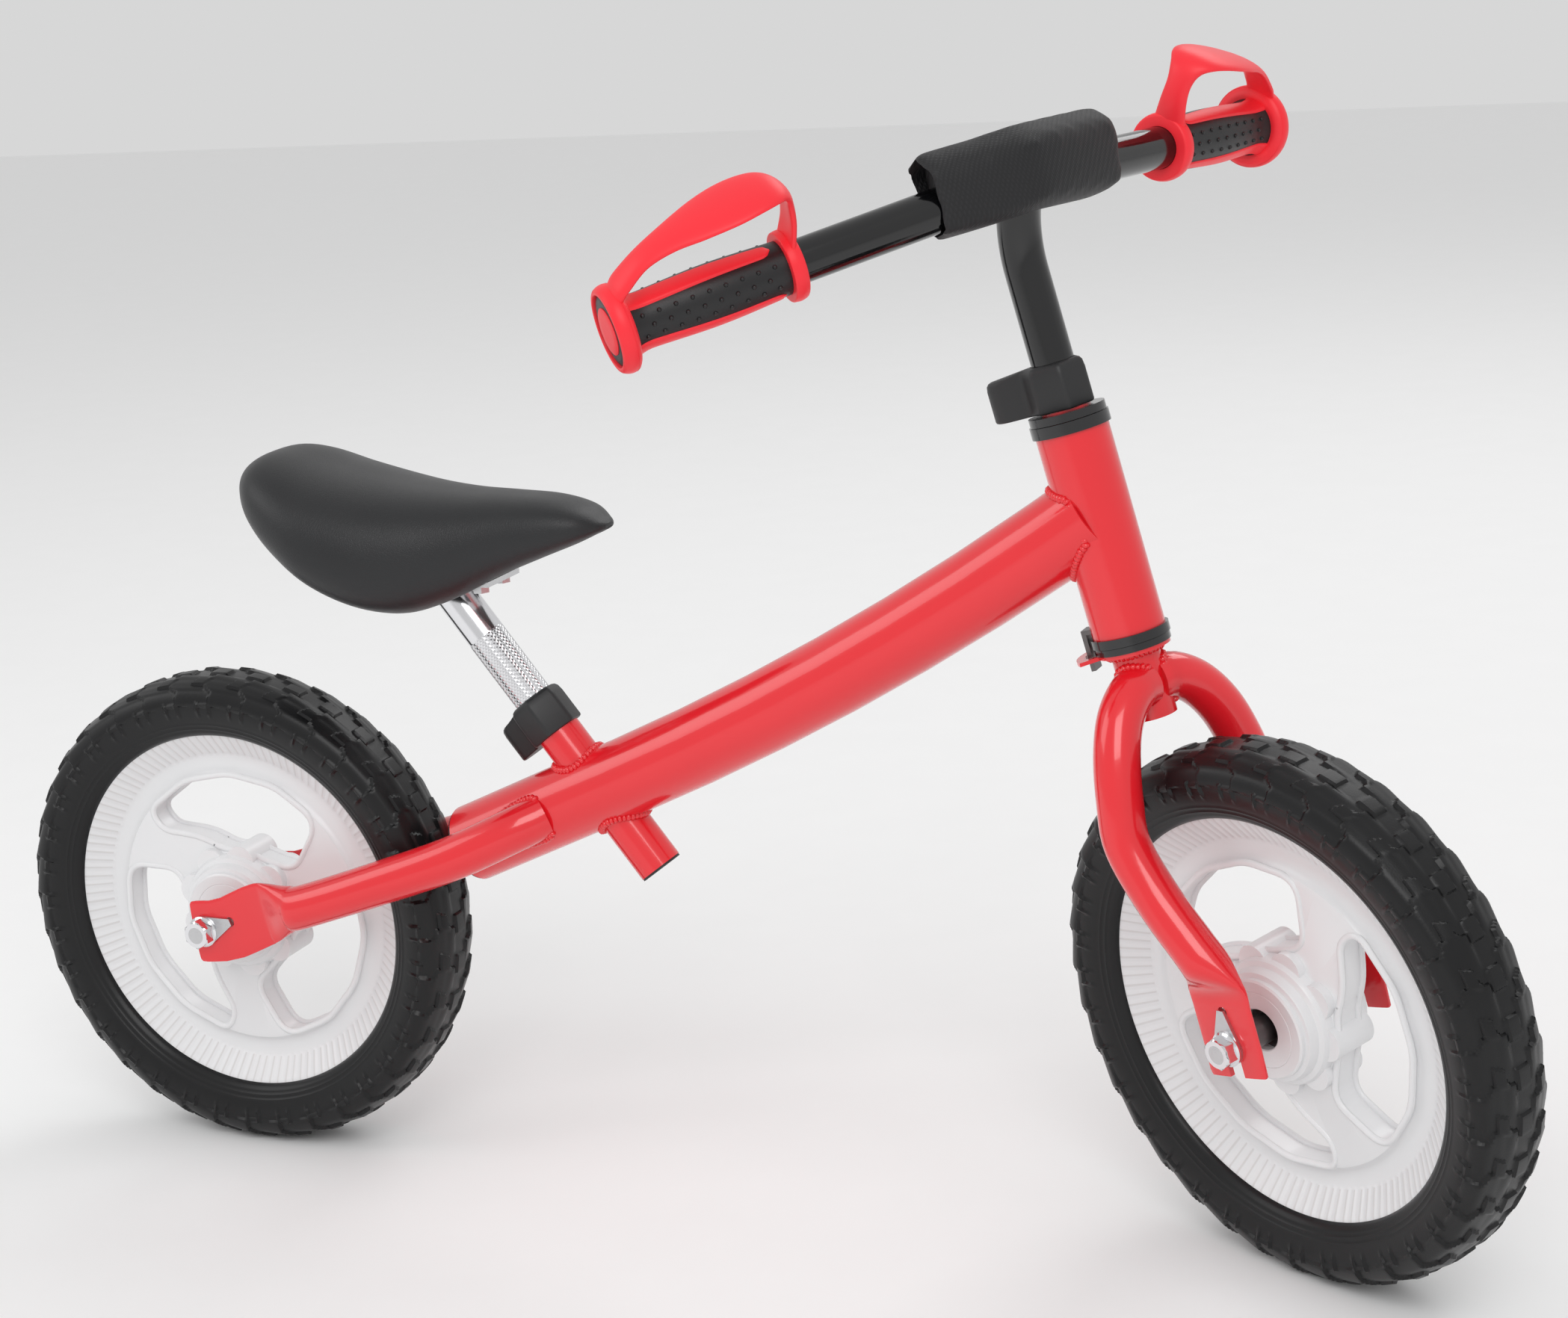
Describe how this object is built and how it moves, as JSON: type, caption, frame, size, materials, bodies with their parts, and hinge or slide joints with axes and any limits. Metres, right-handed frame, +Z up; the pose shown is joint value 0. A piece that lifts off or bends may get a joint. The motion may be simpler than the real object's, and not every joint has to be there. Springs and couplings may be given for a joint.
{
  "type": "balance bike",
  "caption": "Child's balance bike with a bent red frame, white spoked wheels on foam tyres, a padded handlebar with hand guards, and a height-adjustable saddle.",
  "frame": {"origin": "on the floor under the middle of the bike's bounding box", "axes": "+X forward along the frame, +Y to the rider's left, +Z up"},
  "size_m": [0.9184, 0.3825, 0.6201],
  "materials": {
    "frame_red": "gloss",
    "black_metal": "gloss",
    "chrome": "polished",
    "zinc_steel": "satin",
    "white_plastic": "gloss",
    "red_plastic": "gloss",
    "black_plastic": "matte",
    "tyre_foam": "matte",
    "grip_rubber": "matte",
    "saddle_skin": "satin",
    "pad_cloth": "woven",
    "pad_foam": "foam"
  },
  "bodies": {
    "frame": {"main_tube": "frame_red", "main_tube_plug": "black_plastic", "head_tube": "frame_red", "seat_tube": "frame_red", "seat_tube_plug": "black_plastic", "stay_left": "frame_red", "stay_right": "frame_red", "steering_stop": "zinc_steel", "upper_cup": "black_metal", "lower_cup": "black_metal", "seat_collet": "black_plastic", "rear_axle": "zinc_steel", "rear_axle_nuts": "chrome", "rear_tab_washers": "zinc_steel", "rear_spacers": "zinc_steel"},
    "fork": {"steerer": "frame_red", "fork_leg_left": "frame_red", "fork_leg_right": "frame_red", "stop_plate": "frame_red", "crown_ring": "black_metal", "lock_ring": "black_metal", "bar_collet": "black_plastic", "front_axle": "zinc_steel", "front_axle_nuts": "chrome", "front_tab_washers": "zinc_steel", "front_spacers": "zinc_steel"},
    "handlebar": {"stem": "black_metal", "handlebar": "black_metal", "bar_pad": "pad_foam", "pad_cover": "pad_cloth", "grip_left": "grip_rubber", "grip_right": "grip_rubber", "guard_left": "red_plastic", "guard_right": "red_plastic", "end_disc_left": "grip_rubber", "end_disc_right": "grip_rubber"},
    "seat": {"seat_post": "chrome", "saddle_bracket": "zinc_steel", "saddle": "saddle_skin", "saddle_bolts": "zinc_steel"},
    "seat_knob": {"seat_knob": "black_plastic"},
    "bar_knob": {"bar_knob": "black_plastic"},
    "rear_wheel": {"rear_rim": "white_plastic", "rear_tyre": "tyre_foam", "rear_hub_caps": "white_plastic", "rear_bearings": "zinc_steel", "rear_hub_sleeve": "zinc_steel"},
    "front_wheel": {"front_rim": "white_plastic", "front_tyre": "tyre_foam", "front_hub_caps": "white_plastic", "front_bearings": "zinc_steel", "front_hub_sleeve": "zinc_steel"}
  },
  "joints": [
    {"name": "steering", "type": "hinge", "parent": "frame", "child": "fork", "pos_m": [0.28739, -0.02579, 0.13582], "axis": [-0.2419, 0, 0.9703], "range_deg": [-13, 71]},
    {"name": "bar_height", "type": "slide", "parent": "fork", "child": "handlebar", "axis": [-0.2419, 0, 0.9703], "range_m": [-0.02, 0.04]},
    {"name": "seat_height", "type": "slide", "parent": "frame", "child": "seat", "axis": [-0.6018, 0, 0.7986], "range_m": [-0.04, 0.015]},
    {"name": "seat_knob_turn", "type": "hinge", "parent": "frame", "child": "seat_knob", "pos_m": [-0.07297, -0.02579, 0.23264], "axis": [-0.6018, 0, 0.7986], "range_deg": [0, 270]},
    {"name": "bar_knob_turn", "type": "hinge", "parent": "fork", "child": "bar_knob", "pos_m": [0.28739, -0.02579, 0.13582], "axis": [-0.2419, 0, 0.9703], "range_deg": [0, 270]},
    {"name": "front_wheel_spin", "type": "hinge", "parent": "fork", "child": "front_wheel", "pos_m": [0.32304, -0.04615, 0.1447], "axis": [0.4704, 0.8746, 0.1173], "continuous": true},
    {"name": "rear_wheel_spin", "type": "hinge", "parent": "frame", "child": "rear_wheel", "pos_m": [-0.31785, -0.02579, 0.145], "axis": [0, 1, 0], "continuous": true}
  ]
}
